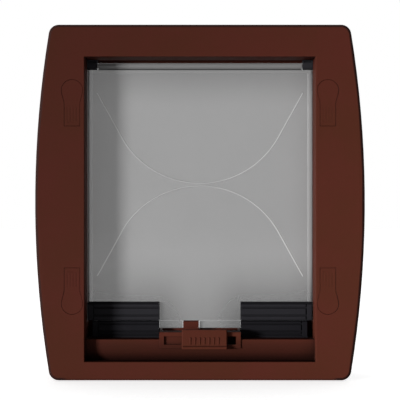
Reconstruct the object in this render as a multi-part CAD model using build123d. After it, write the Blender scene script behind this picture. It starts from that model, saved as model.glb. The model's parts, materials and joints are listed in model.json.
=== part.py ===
from build123d import *
import os
from math import acos, asin, atan2, cos, hypot, radians, sin, tan

# A two-way cat flap for a door, in millimetres: X across the door, Y through it to outdoors, Z up.
# The origin is the centre of the passage, on the plane where the interior frame meets the door.

# Passage through both frames
PASSAGE_WIDTH = 147.0
PASSAGE_HEIGHT = 194.0

# Flange that covers the edge of the cut-out, alike on both frames
TOP_BORDER = 20.5
BOTTOM_BORDER = 12.0
SIDE_BORDER = 31.5
SIDE_BOW = 9.6
CORNER_RADIUS = 6.5
FLANGE_DEPTH = 7.0
FACE_WALL = 2.6
SKIRT_WALL = 2.4
FACE_ROUND = 2.2
LIP_ROUND = 0.5
RIB_WALL = 1.6
RIB_PITCH = 22.0
RIB_RELIEF = 0.5

# Interior tunnel, and the exterior sleeve that slides over it inside the door
DOOR_THICKNESS = 35.0
TUNNEL_WALL = 2.2
TUNNEL_REACH = 29.0
SLEEVE_WALL = 2.2
SLEEVE_CLEARANCE = 0.35
SLEEVE_INSET = 6.0

# Fixing screws under their covers
SCREW_SIDE_OFFSET = 7.8
SCREW_TOP_DROP = 21.4
SCREW_BOTTOM_RISE = 37.0
SCREW_RADIUS = 2.0
SCREW_LENGTH = 30.0
SCREW_CLEARANCE = 0.3
SCREW_HEAD_RADIUS = 3.7
SCREW_HEAD_HEIGHT = 2.4
SCREW_HEAD_EDGE = 0.8
DRIVE_WIDTH = 1.0
DRIVE_LENGTH = 4.2
DRIVE_DEPTH = 1.3
BOSS_RADIUS = 4.2
BOSS_INSET = 8.0
BOSS_SPARE_DEPTH = 2.0
THREAD_FIT = 0.05

# Keyhole-shaped screw covers
COVER_HEAD_RADIUS = 6.7
COVER_STEM_WIDTH = 9.7
COVER_SHOULDER = 8.0
COVER_LENGTH = 29.3
COVER_THICKNESS = 1.9
COVER_SINK = 0.1
COVER_CLEARANCE = 0.2
COVER_PAD_WALL = 1.8
COVER_PEG_DROP = 13.0
COVER_PEG_HALF = 1.6
COVER_PEG_LENGTH = 2.4
COVER_PEG_FIT = 0.05
GRIP_GROOVES = 4
GRIP_PITCH = 1.9
GRIP_WIDTH = 0.5
GRIP_LENGTH = 9.0
GRIP_DEPTH = 0.3
NAIL_SLOT_EDGE = 2.2
NAIL_SLOT_WIDTH = 0.7

# Hinge along the top of the passage
FLAP_SETBACK = 20.0
HINGE_DROP = 3.9
ROD_RADIUS = 1.0
ROD_RUNNING_FIT = 0.06
ROD_SEAT_FIT = 0.03
ROD_SEAT_DEPTH = 5.0
ROD_END_GAP = 0.2
BRACKET_WIDTH = 6.8
BRACKET_DEPTH = 4.4
BRACKET_WALL_GAP = 0.1
BRACKET_POCKET_WALL = 0.9
BRACKET_POCKET_DEPTH = 0.6
BRACKET_SCREW_RADIUS = 1.1
BRACKET_SCREW_HEAD = 2.2
BRACKET_SCREW_BITE = 2.2
DRAUGHT_LIP_DROP = 1.6
DRAUGHT_LIP_WALL = 1.5
DRAUGHT_LIP_GAP = 0.6

# Flap
FLAP_SIDE_GAP = 0.5
FLAP_SWING_GAP = 0.5
PANEL_THICKNESS = 2.4
RIM_THICKNESS = 3.6
RIM_WIDTH = 2.8
TOP_RIM_HEIGHT = 2.4
TONGUE_RIM_HEIGHT = 4.5
TONGUE_OVERHANG = 0.3
TONGUE_GAP = 1.1
TONGUE_CORNER = 1.5
BARREL_RADIUS = 1.8
BARREL_END_GAP = 0.3
NECK_THICKNESS = 1.4

# Two moulded curves that nearly meet in the middle of the flap
CURVE_RADIUS = 49.0
CURVE_TURN = 56.0
CURVE_SIDE_MARGIN = 6.0
CURVE_GAP = 2.6
CURVE_DROP = 74.6
CURVE_RIDGE_WIDTH = 1.1
CURVE_RIDGE_HEIGHT = 0.45

# Magnet bars in their holders, on the flap and on the sill
MAGNET_END_WALL = 8.2
MAGNET_DEPTH = 4.4
MAGNET_HEIGHT = 4.2
MAGNET_FIT = 0.1
MAGNET_GAP = 0.6
HOLDER_DEPTH = 7.6
HOLDER_WALL = 1.0
HOLDER_EDGE = 0.5
HOLDER_END_GAP = 0.05
HOLDER_LUG = 3.7
GROOVE_WIDTH = 1.2
GROOVE_DEPTH = 0.9
LUG_GROOVE_WIDTH = 0.7
FLAP_HOLDER_HEIGHT = 11.7
FLAP_HOLDER_WEB = 0.9
FLAP_HOLDER_TOP_EDGE = 1.6
FLAP_HOLDER_GROOVES = (3.6, 8.6)
FRAME_HOLDER_HEIGHT = 10.8
FRAME_HOLDER_GROOVES = (1.9, 6.6, 8.6)
FRAME_HOLDER_SIDE_GAP = 3.5
FRAME_HOLDER_TONGUE_GAP = 0.4
FOOT_HEIGHT = 1.1
FOOT_SETBACK = 0.9
PEG_HALF = 1.6
PEG_FIT = 0.05
PEG_PITCH = 26.0

# Sill across the foot of the passage, hollow from behind
SILL_SETBACK = 6.7
SILL_WALL = 1.6
SILL_HEIGHT = 13.5
ROLL_HEIGHT = 9.5
ROLL_DEPTH = 4.6
UPSTAND_DROP = 0.4
SILL_PLATE = 2.0
SILL_PLATE_FIT = 0.1
REAR_STRIP = 3.8
POST_RADIUS = 3.2
POST_PITCH = 104.0
PLATE_SCREW_RADIUS = 1.25
PLATE_SCREW_LENGTH = 9.0
PLATE_SCREW_SPARE = 0.5
PLATE_SCREW_HEAD_RADIUS = 2.5
PLATE_SCREW_HEAD_HEIGHT = 1.5

# Lock housing in the middle of the sill, and its slide
HOUSING_HALF = 26.1
HOUSING_STEP = 0.8
HOUSING_FOOT = 0.9
HOUSING_ROOF = 1.2
HOUSING_RISE = 5.4
HOUSING_FRONT_DROP = 0.7
WINDOW_MARGIN = 3.0
WINDOW_DROP = 2.7
WINDOW_HEIGHT = 5.2
WINDOW_RECESS = 1.4
SLIDE_TRAVEL = 6.4
SLIDE_CLEARANCE = 0.3
SLIDE_LAP = 1.2
KNOB_WIDTH = 28.8
KNOB_HEIGHT = 12.2
KNOB_RISE = 1.8
KNOB_THICKNESS = 3.2
KNOB_EDGE = 0.7
KNOB_LIP_HEIGHT = 2.2
KNOB_LIP_REACH = 0.9
KNOB_SLOPE = 0.5
STEM_INSET = 0.8
GRIP_RIDGES = 7
GRIP_RIDGE_PITCH = 3.0
GRIP_RIDGE_WIDTH = 0.9
GRIP_RIDGE_HEIGHT = 0.5
GRIP_RIDGE_LENGTH = 4.6
TAB_WIDTH = 10.3
TAB_INSET = 0.6
TAB_REACH = 4.1
TAB_THICKNESS = 1.6
FORK_GAP = 0.5
FORK_BRIDGE = 1.8
NOTCH_SIDE_GAP = 0.5
NOTCH_HEADROOM = 0.4
FIN_WALL = 1.6
FIN_PITCH = 16.0
FIN_DROP = 1.5

# Places that follow from those sizes
PASSAGE_HALF = PASSAGE_WIDTH / 2
CEILING = PASSAGE_HEIGHT / 2
FLOOR = -PASSAGE_HEIGHT / 2
FRONT = -FLANGE_DEPTH
SEAT = 0.0
OUTER_SEAT = DOOR_THICKNESS
OUTER_FRONT = DOOR_THICKNESS + FLANGE_DEPTH
FLAP_Y = FRONT + FLAP_SETBACK
AXIS_Z = CEILING - HINGE_DROP
BARREL_HALF = PASSAGE_HALF - BRACKET_WIDTH - BARREL_END_GAP
FLAP_HALF = PASSAGE_HALF - FLAP_SIDE_GAP
FLAP_TOP = AXIS_Z - BRACKET_DEPTH / 2 - FLAP_SWING_GAP
FORK_REACH = RIM_THICKNESS / 2 + FORK_GAP + TAB_THICKNESS
FORK_FRONT = FLAP_Y - FORK_REACH
FORK_REAR = FLAP_Y + FORK_REACH
SLOT_FRONT = FORK_FRONT - SLIDE_CLEARANCE
SLOT_REAR = FORK_REAR + SLIDE_CLEARANCE
SILL_FACE = FRONT + SILL_SETBACK
ROOM_FRONT = SILL_FACE + SILL_WALL
SLIDE_FRONT = ROOM_FRONT + SLIDE_CLEARANCE
HOUSING_FACE = SILL_FACE - HOUSING_STEP
SILL_BACK = SLOT_REAR + REAR_STRIP
PLATE_FRONT = SILL_BACK - SILL_PLATE
LEDGE = FLOOR + SILL_HEIGHT
HOUSING_TOP = LEDGE + HOUSING_RISE
HOUSING_FRONT_TOP = HOUSING_TOP - HOUSING_FRONT_DROP
ROOM_HALF = HOUSING_HALF - SILL_WALL
TONGUE_HALF = HOUSING_HALF + TONGUE_OVERHANG
TONGUE_BOTTOM = HOUSING_TOP + TONGUE_GAP
FRAME_HOLDER_TOP = LEDGE + FRAME_HOLDER_HEIGHT
UPSTAND_TOP = FRAME_HOLDER_TOP - UPSTAND_DROP
FLAP_HOLDER_BOTTOM = FRAME_HOLDER_TOP + MAGNET_GAP
FLAP_HOLDER_TOP = FLAP_HOLDER_BOTTOM + FLAP_HOLDER_HEIGHT
FLAP_MAGNET_BOTTOM = FLAP_HOLDER_BOTTOM + HOLDER_WALL + MAGNET_FIT
FRAME_MAGNET_BOTTOM = FRAME_HOLDER_TOP - HOLDER_WALL - MAGNET_FIT - MAGNET_HEIGHT
SLOT_FLOOR = FLAP_MAGNET_BOTTOM + MAGNET_HEIGHT + MAGNET_FIT + FLAP_HOLDER_WEB
FLAP_CORNER = SLOT_FLOOR + MAGNET_FIT
FLAP_HOLDER_INNER = TONGUE_HALF + HOLDER_END_GAP
MAGNET_LENGTH = FLAP_HALF - FLAP_HOLDER_INNER - MAGNET_END_WALL
FRAME_HOLDER_INNER = TONGUE_HALF + FRAME_HOLDER_TONGUE_GAP
FRAME_HOLDER_OUTER = PASSAGE_HALF - FRAME_HOLDER_SIDE_GAP
WINDOW_RIGHT = HOUSING_HALF - WINDOW_MARGIN
WINDOW_TOP = HOUSING_FRONT_TOP - WINDOW_DROP
WINDOW_BOTTOM = WINDOW_TOP - WINDOW_HEIGHT
SLIDE_BOTTOM = WINDOW_BOTTOM - SLIDE_LAP
ROOM_FLOOR = SLIDE_BOTTOM - SLIDE_CLEARANCE
HOUSING_BOTTOM = ROOM_FLOOR - HOUSING_FOOT
STEM_RIGHT = WINDOW_RIGHT - SLIDE_CLEARANCE - SLIDE_TRAVEL
KNOB_RIGHT = STEM_RIGHT + STEM_INSET
KNOB_LEFT = KNOB_RIGHT - KNOB_WIDTH
STEM_LEFT = KNOB_LEFT + STEM_INSET
KNOB_TOP = HOUSING_FRONT_TOP + KNOB_RISE
KNOB_BOTTOM = KNOB_TOP - KNOB_HEIGHT
KNOB_BACK = HOUSING_FACE - SLIDE_CLEARANCE
KNOB_FRONT = KNOB_BACK - KNOB_THICKNESS
TAB_LEFT = KNOB_LEFT + TAB_INSET
TAB_RIGHT = TAB_LEFT + TAB_WIDTH
TAB_TOP = TONGUE_BOTTOM + TAB_REACH
SLIDE_TOP = WINDOW_TOP + SLIDE_LAP
BRIDGE_BOTTOM = SLIDE_TOP - FORK_BRIDGE
POCKET_FLOOR = FRONT + COVER_SINK + COVER_THICKNESS
HEAD_TOP = POCKET_FLOOR + SCREW_CLEARANCE
HEAD_SEAT = HEAD_TOP + SCREW_HEAD_HEIGHT
SCREW_TIP = HEAD_SEAT + SCREW_LENGTH


def area(x0, x1, z0, z1):
    """Rectangle between two places across and two places up."""
    return Pos((x0 + x1) / 2, (z0 + z1) / 2) * Rectangle(x1 - x0, z1 - z0)


def slab(sketch, y0, y1):
    """Sketch drawn in X and Z, given depth from y0 to y1 through the door."""
    return extrude(Plane.XZ.offset(-max(y0, y1)) * sketch, abs(y1 - y0), dir=(0, -1, 0))


def bar(section, x0, x1):
    """Section drawn in Y and Z, run across the door from x0 to x1."""
    return extrude(Plane.YZ.offset(x0) * section, x1 - x0, dir=(1, 0, 0))


def peg(x, half):
    """Square peg through the sill's ledge, on the flap's plane."""
    return bar(area(FLAP_Y - half, FLAP_Y + half, LEDGE - SILL_WALL, LEDGE), x - half, x + half)


def flange_outline():
    """Straight top and bottom, sides bowed outwards, rounded corners."""
    half = PASSAGE_HALF + SIDE_BORDER
    end = half - SIDE_BOW
    top = CEILING + TOP_BORDER
    bottom = FLOOR - BOTTOM_BORDER
    middle = (top + bottom) / 2
    edges = [
        Line((-end, top), (end, top)),
        ThreePointArc((end, top), (half, middle), (end, bottom)),
        Line((end, bottom), (-end, bottom)),
        ThreePointArc((-end, bottom), (-half, middle), (-end, top)),
    ]
    outline = make_face(Curve() + edges)
    return fillet(outline.vertices(), CORNER_RADIUS)


def tunnel_outline(wall):
    """Rectangle round the passage, a wall's thickness outside it."""
    return Rectangle(PASSAGE_WIDTH + 2 * wall, PASSAGE_HEIGHT + 2 * wall)


def flange(face, seat, wall):
    """Flange with a rounded face edge, hollow at the back, with ribs from its skirt to the tunnel wall."""
    inward = 1 if seat > face else -1
    outline = flange_outline()
    body = slab(outline, face, seat)
    front = body.faces().sort_by(Axis.Y)[0 if inward > 0 else -1]
    body = fillet(front.outer_wire().edges(), FACE_ROUND)
    across = PASSAGE_WIDTH + 2 * SIDE_BORDER
    upright = PASSAGE_HEIGHT + 2 * TOP_BORDER
    rows = int((PASSAGE_HEIGHT + 2 * wall) / RIB_PITCH)
    columns = int((PASSAGE_WIDTH + 2 * wall) / RIB_PITCH)
    ribs = [spot * Rectangle(across, RIB_WALL) for spot in GridLocations(0, RIB_PITCH, 1, rows)]
    ribs += [spot * Rectangle(RIB_WALL, upright) for spot in GridLocations(RIB_PITCH, 0, columns, 1)]
    hollow = offset(outline, -SKIRT_WALL) - tunnel_outline(wall)
    body -= slab(hollow - ribs, face + inward * FACE_WALL, seat)
    return body - slab(hollow, seat - inward * RIB_RELIEF, seat)


def cover_outline():
    """Round head on the origin, shoulders tangent to it, and a straight stem pointing down."""
    half = COVER_STEM_WIDTH / 2
    turn = acos(COVER_HEAD_RADIUS / hypot(half, COVER_SHOULDER)) - atan2(COVER_SHOULDER, half)
    touch_x = COVER_HEAD_RADIUS * cos(turn)
    touch_z = COVER_HEAD_RADIUS * sin(turn)
    end = COVER_HEAD_RADIUS - COVER_LENGTH
    head = ThreePointArc((touch_x, touch_z), (0, COVER_HEAD_RADIUS), (-touch_x, touch_z))
    stem = Polyline(
        (-touch_x, touch_z),
        (-half, -COVER_SHOULDER),
        (-half, end),
        (half, end),
        (half, -COVER_SHOULDER),
        (touch_x, touch_z),
    )
    return make_face(Curve() + [head, stem])


def cover_pad():
    """Rectangle round a cover's outline, a wall's thickness outside it."""
    half = COVER_HEAD_RADIUS + COVER_PAD_WALL
    return area(-half, half, COVER_HEAD_RADIUS - COVER_LENGTH - COVER_PAD_WALL, half)


def cover_peg(fit):
    """Section of the square peg behind a cover, grown by a fit for its hole."""
    return Rectangle(2 * (COVER_PEG_HALF + fit), 2 * (COVER_PEG_HALF + fit))


def cover_places():
    """Where each cover's head lies, by name; the lower covers stand on their heads."""
    x = PASSAGE_HALF + SCREW_SIDE_OFFSET
    top = CEILING - SCREW_TOP_DROP
    bottom = FLOOR + SCREW_BOTTOM_RISE
    return {
        "top_left": Pos(-x, top),
        "top_right": Pos(x, top),
        "bottom_left": Pos(-x, bottom) * Rot(0, 0, 180),
        "bottom_right": Pos(x, bottom) * Rot(0, 0, 180),
    }


def sill():
    """Front wall that rolls back to its foot, ledge and upstand, with the lock housing in the middle."""
    root = FLOOR - TUNNEL_WALL / 2
    roll_top = FLOOR + ROLL_HEIGHT
    roll_radius = (ROLL_HEIGHT**2 + ROLL_DEPTH**2) / (2 * ROLL_DEPTH)
    half_turn = asin(ROLL_HEIGHT / roll_radius) / 2
    bulge_y = roll_radius * (1 - cos(half_turn))
    bulge_z = roll_top - roll_radius * sin(half_turn)
    face_roll = ThreePointArc(
        (SILL_FACE + ROLL_DEPTH, FLOOR),
        (SILL_FACE + bulge_y, bulge_z),
        (SILL_FACE, roll_top),
    )
    room_roll = ThreePointArc(
        (ROOM_FRONT, roll_top),
        (ROOM_FRONT + bulge_y, bulge_z),
        (ROOM_FRONT + ROLL_DEPTH, FLOOR),
    )
    ledge = Polyline(
        (SILL_FACE, roll_top),
        (SILL_FACE, LEDGE),
        (SILL_BACK, LEDGE),
        (SILL_BACK, LEDGE - SILL_WALL),
        (ROOM_FRONT, LEDGE - SILL_WALL),
        (ROOM_FRONT, roll_top),
    )
    foot = Polyline(
        (ROOM_FRONT + ROLL_DEPTH, FLOOR),
        (ROOM_FRONT + ROLL_DEPTH, root),
        (SILL_FACE + ROLL_DEPTH, root),
        (SILL_FACE + ROLL_DEPTH, FLOOR),
    )
    back = Polyline(
        (SILL_FACE, roll_top),
        (PLATE_FRONT, roll_top),
        (PLATE_FRONT, FLOOR),
        (SILL_FACE + ROLL_DEPTH, FLOOR),
    )
    reach = PASSAGE_HALF + TUNNEL_WALL / 2
    body = bar(make_face(Curve() + [face_roll, ledge, room_roll, foot]), -reach, reach)
    hollow = bar(make_face(Curve() + [face_roll, back]), -reach, reach)
    upstand = area(HOUSING_HALF, reach, LEDGE - SILL_WALL, HOUSING_TOP)
    upstand += area(FRAME_HOLDER_INNER, reach, LEDGE, UPSTAND_TOP)
    upstand = slab(upstand, SILL_BACK - SILL_WALL, SILL_BACK)
    body += upstand
    body += mirror(upstand, about=Plane.YZ)
    housing = Polygon(
        (ROOM_FRONT, HOUSING_BOTTOM),
        (HOUSING_FACE, HOUSING_BOTTOM),
        (HOUSING_FACE, HOUSING_FRONT_TOP),
        (SLOT_FRONT, HOUSING_FRONT_TOP),
        (SLOT_REAR, HOUSING_TOP),
        (SILL_BACK, HOUSING_TOP),
        (SILL_BACK, LEDGE - SILL_WALL),
        (ROOM_FRONT, LEDGE - SILL_WALL),
        align=None,
    )
    body += bar(housing, -HOUSING_HALF, HOUSING_HALF)
    room = Polygon(
        (ROOM_FRONT, ROOM_FLOOR),
        (ROOM_FRONT, HOUSING_FRONT_TOP - HOUSING_ROOF),
        (SLOT_FRONT, HOUSING_FRONT_TOP - HOUSING_ROOF),
        (SLOT_FRONT, HOUSING_TOP),
        (SLOT_REAR, HOUSING_TOP),
        (SLOT_REAR, HOUSING_TOP - SILL_WALL),
        (SILL_BACK, HOUSING_TOP - SILL_WALL),
        (SILL_BACK, ROOM_FLOOR),
        align=None,
    )
    body -= bar(room, -ROOM_HALF, ROOM_HALF)
    window_left = STEM_LEFT - SLIDE_CLEARANCE
    body -= slab(area(window_left, WINDOW_RIGHT, WINDOW_BOTTOM, WINDOW_TOP), HOUSING_FACE, ROOM_FRONT)
    recess = area(-WINDOW_RIGHT, window_left, WINDOW_BOTTOM, WINDOW_TOP)
    body -= slab(recess, HOUSING_FACE, HOUSING_FACE + WINDOW_RECESS)
    for x in peg_places():
        body -= peg(x, PEG_HALF + PEG_FIT)
        body -= peg(-x, PEG_HALF + PEG_FIT)
    hole_end = SILL_BACK - PLATE_SCREW_LENGTH - PLATE_SCREW_SPARE
    for spot in plate_screw_places():
        body += slab(spot * Circle(POST_RADIUS), SILL_FACE, PLATE_FRONT) & hollow
        body -= slab(spot * Circle(PLATE_SCREW_RADIUS + THREAD_FIT), hole_end, PLATE_FRONT)
    return body


def peg_places():
    """Places across of the two pegs under the right-hand sill magnet holder."""
    middle = (FRAME_HOLDER_INNER + FRAME_HOLDER_OUTER) / 2
    return [middle - PEG_PITCH / 2, middle + PEG_PITCH / 2]


def plate_screw_places():
    """The sill plate's two screws, halfway up the hollow under the ledge."""
    middle = (FLOOR + LEDGE - SILL_WALL) / 2
    return [Pos(side * POST_PITCH / 2, middle) for side in (-1, 1)]


def interior_frame():
    """Moulded frame for the room side: flange, tunnel, sill, and the pads under the screw covers."""
    body = flange(FRONT, SEAT, TUNNEL_WALL)
    body += slab(tunnel_outline(TUNNEL_WALL), FRONT + FACE_WALL, TUNNEL_REACH)
    for place in cover_places().values():
        body += slab(place * cover_pad(), FRONT + FACE_WALL, SEAT)
    body -= slab(Rectangle(PASSAGE_WIDTH, PASSAGE_HEIGHT), FRONT, TUNNEL_REACH)
    face = body.faces().sort_by(Axis.Y)[0]
    body = fillet(face.inner_wires()[0].edges(), LIP_ROUND)
    body += sill()
    lip_front = FLAP_Y + BRACKET_DEPTH / 2 + DRAUGHT_LIP_GAP
    lip = area(lip_front, lip_front + DRAUGHT_LIP_WALL, CEILING - DRAUGHT_LIP_DROP, CEILING)
    body += bar(lip, -PASSAGE_HALF, PASSAGE_HALF)
    for place in cover_places().values():
        hole = place * Pos(0, -COVER_PEG_DROP) * cover_peg(COVER_PEG_FIT)
        body -= slab(offset(place * cover_outline(), COVER_CLEARANCE), FRONT, POCKET_FLOOR)
        body -= slab(hole, POCKET_FLOOR, SEAT)
        body -= slab(place * Circle(SCREW_HEAD_RADIUS + SCREW_CLEARANCE), POCKET_FLOOR, HEAD_SEAT)
        body -= slab(place * Circle(SCREW_RADIUS + SCREW_CLEARANCE), HEAD_SEAT, SEAT)
    for side in (-1, 1):
        body -= bracket_screw(side, THREAD_FIT)
    return body


def exterior_frame():
    """Moulded frame for the outdoor side: flange, sleeve over the tunnel, and bosses for the screws."""
    inner = TUNNEL_WALL + SLEEVE_CLEARANCE
    body = flange(OUTER_FRONT, OUTER_SEAT, inner + SLEEVE_WALL)
    body += slab(tunnel_outline(inner + SLEEVE_WALL), SLEEVE_INSET, OUTER_FRONT - FACE_WALL)
    for place in cover_places().values():
        body += slab(place * Circle(BOSS_RADIUS), BOSS_INSET, OUTER_FRONT - FACE_WALL)
    body -= slab(tunnel_outline(inner), SLEEVE_INSET, OUTER_FRONT)
    face = body.faces().sort_by(Axis.Y)[-1]
    body = fillet(face.inner_wires()[0].edges(), LIP_ROUND)
    for place in cover_places().values():
        pilot = place * Circle(SCREW_RADIUS + THREAD_FIT)
        body -= slab(pilot, BOSS_INSET, SCREW_TIP + BOSS_SPARE_DEPTH)
    return body


def fixing_screw(place):
    """Pan-head screw with a cross drive, head towards the room."""
    head = slab(place * Circle(SCREW_HEAD_RADIUS), HEAD_TOP, HEAD_SEAT)
    head = chamfer(head.edges().sort_by(Axis.Y)[0], SCREW_HEAD_EDGE)
    cross = Rectangle(DRIVE_WIDTH, DRIVE_LENGTH) + Rectangle(DRIVE_LENGTH, DRIVE_WIDTH)
    head -= slab(place * cross, HEAD_TOP, HEAD_TOP + DRIVE_DEPTH)
    return head + slab(place * Circle(SCREW_RADIUS), HEAD_SEAT, SCREW_TIP)


def screw_cover(place):
    """Flush keyhole cover with a peg behind, grip grooves down its stem and a slot for a fingernail."""
    face = FRONT + COVER_SINK
    body = slab(place * cover_outline(), face, POCKET_FLOOR)
    spike = place * Pos(0, -COVER_PEG_DROP) * cover_peg(0)
    body += slab(spike, POCKET_FLOOR, POCKET_FLOOR + COVER_PEG_LENGTH)
    end = COVER_HEAD_RADIUS - COVER_LENGTH
    slot = end + NAIL_SLOT_EDGE
    grip = slot + NAIL_SLOT_WIDTH + GRIP_LENGTH / 2
    row = Pos(0, grip) * GridLocations(GRIP_PITCH, 0, GRIP_GROOVES, 1)
    for spot in row:
        body -= slab(place * spot * Rectangle(GRIP_WIDTH, GRIP_LENGTH), face, face + GRIP_DEPTH)
    length = (GRIP_GROOVES - 1) * GRIP_PITCH
    nail = Pos(0, slot) * Rectangle(length, NAIL_SLOT_WIDTH)
    return body - slab(place * nail, face, face + GRIP_DEPTH)


def hinge_rod():
    """Steel rod through the flap's barrel, seated at each end in a bracket."""
    half = PASSAGE_HALF - BRACKET_WIDTH + ROD_SEAT_DEPTH - ROD_END_GAP
    return bar(Pos(FLAP_Y, AXIS_Z) * Circle(ROD_RADIUS), -half, half)


def hinge_bracket():
    """Right-hand hinge block under the ceiling, round below so that the flap can turn past it."""
    inner = PASSAGE_HALF - BRACKET_WIDTH
    outer = PASSAGE_HALF - BRACKET_WALL_GAP
    front = FLAP_Y - BRACKET_DEPTH / 2
    section = Pos(FLAP_Y, AXIS_Z) * Circle(BRACKET_DEPTH / 2)
    section += area(front, FLAP_Y + BRACKET_DEPTH / 2, AXIS_Z, CEILING)
    body = bar(section, inner, outer)
    wall = BRACKET_POCKET_WALL
    pocket = area(inner + wall, outer - wall, AXIS_Z + ROD_RADIUS + wall, CEILING - wall)
    body -= slab(pocket, front, front + BRACKET_POCKET_DEPTH)
    seat = Pos(FLAP_Y, AXIS_Z) * Circle(ROD_RADIUS + ROD_SEAT_FIT)
    body -= bar(seat, inner, inner + ROD_SEAT_DEPTH)
    return body - bracket_screw(1, THREAD_FIT)


def bracket_screw(side, fit):
    """Small countersunk screw through the ceiling into a bracket, grown by a fit for its holes."""
    x = side * (PASSAGE_HALF - BRACKET_WIDTH / 2)
    top = CEILING + TUNNEL_WALL
    shank = BRACKET_SCREW_RADIUS + fit
    cone = BRACKET_SCREW_HEAD + fit
    head = Pos(x, FLAP_Y, top - (cone - shank) / 2) * Cone(shank, cone, cone - shank)
    length = TUNNEL_WALL + BRACKET_SCREW_BITE
    return head + Pos(x, FLAP_Y, top - length / 2) * Cylinder(shank, length)


def curve_ridge(upward):
    """Slim ridge on the flap's face: a wide arc in the middle and a straight leg out to each side."""
    y = FLAP_Y - PANEL_THICKNESS / 2
    turn = radians(CURVE_TURN)
    middle = FLAP_TOP - CURVE_DROP + upward * CURVE_GAP / 2
    bend_x = CURVE_RADIUS * sin(turn)
    bend_z = middle + upward * CURVE_RADIUS * (1 - cos(turn))
    end_x = FLAP_HALF - CURVE_SIDE_MARGIN
    end_z = bend_z + upward * (end_x - bend_x) * tan(turn)
    path = Wire(
        [
            Line((-end_x, y, end_z), (-bend_x, y, bend_z)),
            ThreePointArc((-bend_x, y, bend_z), (0, y, middle), (bend_x, y, bend_z)),
            Line((bend_x, y, bend_z), (end_x, y, end_z)),
        ]
    )
    root = -CURVE_RIDGE_HEIGHT
    half = CURVE_RIDGE_WIDTH / 2
    section = Polygon((root, -half), (0, -half), (CURVE_RIDGE_HEIGHT, 0), (0, half), (root, half), align=None)
    start = Plane(origin=path @ 0, x_dir=(0, -1, 0), z_dir=path % 0)
    return sweep(start * section, path=path)


def flap_panel():
    """Clear moulded flap: panel, thicker rim, hinge barrel on a thin neck, tongue and lock notch."""
    panel = area(-FLAP_HALF, FLAP_HALF, FLAP_CORNER, FLAP_TOP)
    tongue = area(-TONGUE_HALF, TONGUE_HALF, TONGUE_BOTTOM, FLAP_CORNER)
    rim = area(-FLAP_HALF, FLAP_HALF, FLAP_TOP - TOP_RIM_HEIGHT, FLAP_TOP)
    rim += area(-FLAP_HALF, RIM_WIDTH - FLAP_HALF, FLAP_HOLDER_TOP, FLAP_TOP)
    rim += area(FLAP_HALF - RIM_WIDTH, FLAP_HALF, FLAP_HOLDER_TOP, FLAP_TOP)
    foot = area(-TONGUE_HALF, TONGUE_HALF, TONGUE_BOTTOM, TONGUE_BOTTOM + TONGUE_RIM_HEIGHT)
    foot = fillet(foot.vertices().group_by(Axis.Y)[0], TONGUE_CORNER)
    tongue = tongue - area(-TONGUE_HALF, TONGUE_HALF, TONGUE_BOTTOM, TONGUE_BOTTOM + TONGUE_CORNER)
    body = slab(panel + tongue, FLAP_Y - PANEL_THICKNESS / 2, FLAP_Y + PANEL_THICKNESS / 2)
    body += slab(rim, FLAP_Y - RIM_THICKNESS / 2, FLAP_Y + RIM_THICKNESS / 2)
    body += slab(foot, FLAP_Y - RIM_THICKNESS / 2, FLAP_Y + RIM_THICKNESS / 2)
    neck = area(-BARREL_HALF, BARREL_HALF, FLAP_TOP - TOP_RIM_HEIGHT, AXIS_Z)
    body += slab(neck, FLAP_Y - NECK_THICKNESS / 2, FLAP_Y + NECK_THICKNESS / 2)
    axis = Pos(FLAP_Y, AXIS_Z)
    body += bar(axis * Circle(BARREL_RADIUS), -BARREL_HALF, BARREL_HALF)
    body -= bar(axis * Circle(ROD_RADIUS + ROD_RUNNING_FIT), -BARREL_HALF, BARREL_HALF)
    body += curve_ridge(1)
    body += curve_ridge(-1)
    notch_top = TAB_TOP + NOTCH_HEADROOM
    notch = area(TAB_LEFT - NOTCH_SIDE_GAP, TAB_RIGHT + NOTCH_SIDE_GAP, TONGUE_BOTTOM, notch_top)
    return body - slab(notch, FLAP_Y - RIM_THICKNESS / 2, FLAP_Y + RIM_THICKNESS / 2)


def holder_body(inner, outer, bottom, top, top_edge, grooves):
    """Right-hand magnet holder: a bar grooved along both faces, with a plain lug at its outer end."""
    front = FLAP_Y - HOLDER_DEPTH / 2
    rear = FLAP_Y + HOLDER_DEPTH / 2
    body = slab(area(inner, outer, bottom, top), front, rear)
    body = chamfer(body.edges().filter_by(Axis.X).group_by(Axis.Z)[-1], top_edge)
    body = chamfer(body.edges().filter_by(Axis.X).group_by(Axis.Z)[0], HOLDER_EDGE)
    body = chamfer(body.edges().filter_by(Axis.Z).group_by(Axis.X)[-1], HOLDER_EDGE)
    lug = outer - HOLDER_LUG
    cuts = [area(lug - LUG_GROOVE_WIDTH, lug, bottom, top)]
    for drop in grooves:
        cuts.append(area(inner, lug, top - drop - GROOVE_WIDTH / 2, top - drop + GROOVE_WIDTH / 2))
    for cut in cuts:
        body -= slab(cut, front, front + GROOVE_DEPTH)
        body -= slab(cut, rear - GROOVE_DEPTH, rear)
    return body


def magnet_bar(inner, bottom, fit):
    """Right-hand magnet bar, from the open end of its holder; grown by a fit for its pocket."""
    half = MAGNET_DEPTH / 2 + fit
    section = area(FLAP_Y - half, FLAP_Y + half, bottom - fit, bottom + MAGNET_HEIGHT + fit)
    return bar(section, inner, inner + MAGNET_LENGTH + fit)


def flap_magnet_holder():
    """Holder that grips the flap's lower corner in a slot, with the magnet below the slot."""
    inner = FLAP_HOLDER_INNER
    bottom = FLAP_HOLDER_BOTTOM
    top = FLAP_HOLDER_TOP
    body = holder_body(inner, FLAP_HALF, bottom, top, FLAP_HOLDER_TOP_EDGE, FLAP_HOLDER_GROOVES)
    half = PANEL_THICKNESS / 2 + MAGNET_FIT
    body -= bar(area(FLAP_Y - half, FLAP_Y + half, SLOT_FLOOR, top), inner, FLAP_HALF)
    return body - magnet_bar(inner, FLAP_MAGNET_BOTTOM, MAGNET_FIT)


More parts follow.
